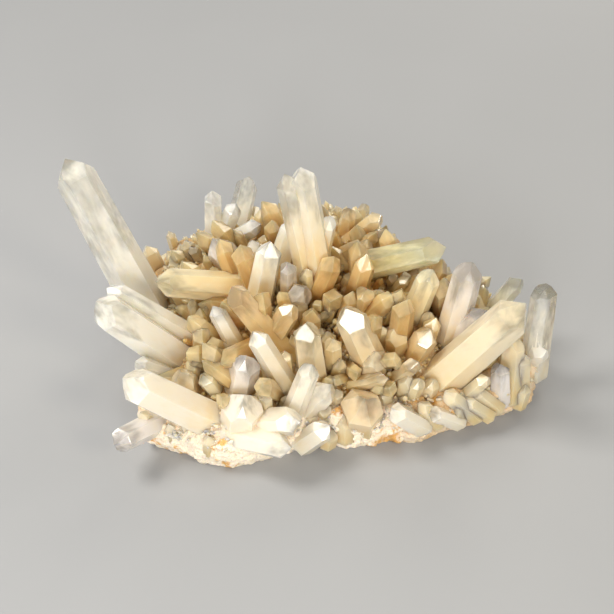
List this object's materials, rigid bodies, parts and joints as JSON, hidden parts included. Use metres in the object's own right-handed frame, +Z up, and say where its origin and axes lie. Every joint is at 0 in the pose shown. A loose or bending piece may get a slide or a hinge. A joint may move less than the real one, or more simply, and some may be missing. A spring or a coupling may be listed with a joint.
{
  "type": "clear quartz cluster",
  "caption": "Cluster of clear to milky quartz points radiating from a crusted, iron-stained rock base with a flat underside.",
  "frame": {"origin": "middle of the bottom of the box round the whole cluster, on the surface it rests on", "axes": "+Z up, +X along the longest side with the tall point at the -X end, +Y away from the side the cluster is shown from"},
  "size_m": [0.2508, 0.2044, 0.1165],
  "materials": {
    "crusted_rock": "matte sugary crust with iron staining",
    "milky_quartz": "glassy, cloudy white",
    "clear_quartz": "glassy, nearly clear",
    "cream_quartz": "glassy, cream",
    "yellow_quartz": "glassy, yellow to tan stain",
    "lilac_quartz": "glassy, cool white"
  },
  "bodies": {
    "root": {"back_centre_twin": "milky_quartz", "back_left_pair": "milky_quartz", "back_ridge_pair": "yellow_quartz", "behind_tall_point": "milky_quartz", "bluish_end_on_point": "lilac_quartz", "bright_cream_point": "cream_quartz", "bright_front_point": "milky_quartz", "centre_left_tall_point": "milky_quartz", "clear_back_finger": "clear_quartz", "clear_block_point": "clear_quartz", "far_right_pair": "clear_quartz", "far_side_left_point": "clear_quartz", "far_side_wide_point": "clear_quartz", "front_block_group": "milky_quartz", "front_centre_point": "milky_quartz", "front_left_big_point": "milky_quartz", "front_middle_pair": "milky_quartz", "front_right_pair": "milky_quartz", "glinting_middle_point": "milky_quartz", "hidden_tan_point": "yellow_quartz", "left_trio": "milky_quartz", "level_cream_point": "cream_quartz", "lilac_back_point": "lilac_quartz", "lilac_low_right_point": "lilac_quartz", "lilac_right_pair": "lilac_quartz", "low_back_ridge_point": "yellow_quartz", "low_left_bluish_point": "lilac_quartz", "lower_centre_point": "milky_quartz", "olive_right_point": "yellow_quartz", "pale_window_point": "milky_quartz", "pale_yellow_arm": "yellow_quartz", "pink_pair": "lilac_quartz", "right_arm_point": "milky_quartz", "right_big_point": "milky_quartz", "right_inner_point": "milky_quartz", "rock_base": "crusted_rock", "rounded_back_finger": "milky_quartz", "small_glint_point": "milky_quartz", "small_middle_finger": "milky_quartz", "star_glint_pair": "milky_quartz", "tall_left_point": "milky_quartz", "tan_inner_point": "yellow_quartz", "yellow_inner_point": "yellow_quartz", "yellow_right_point": "yellow_quartz"}
  },
  "joints": []
}
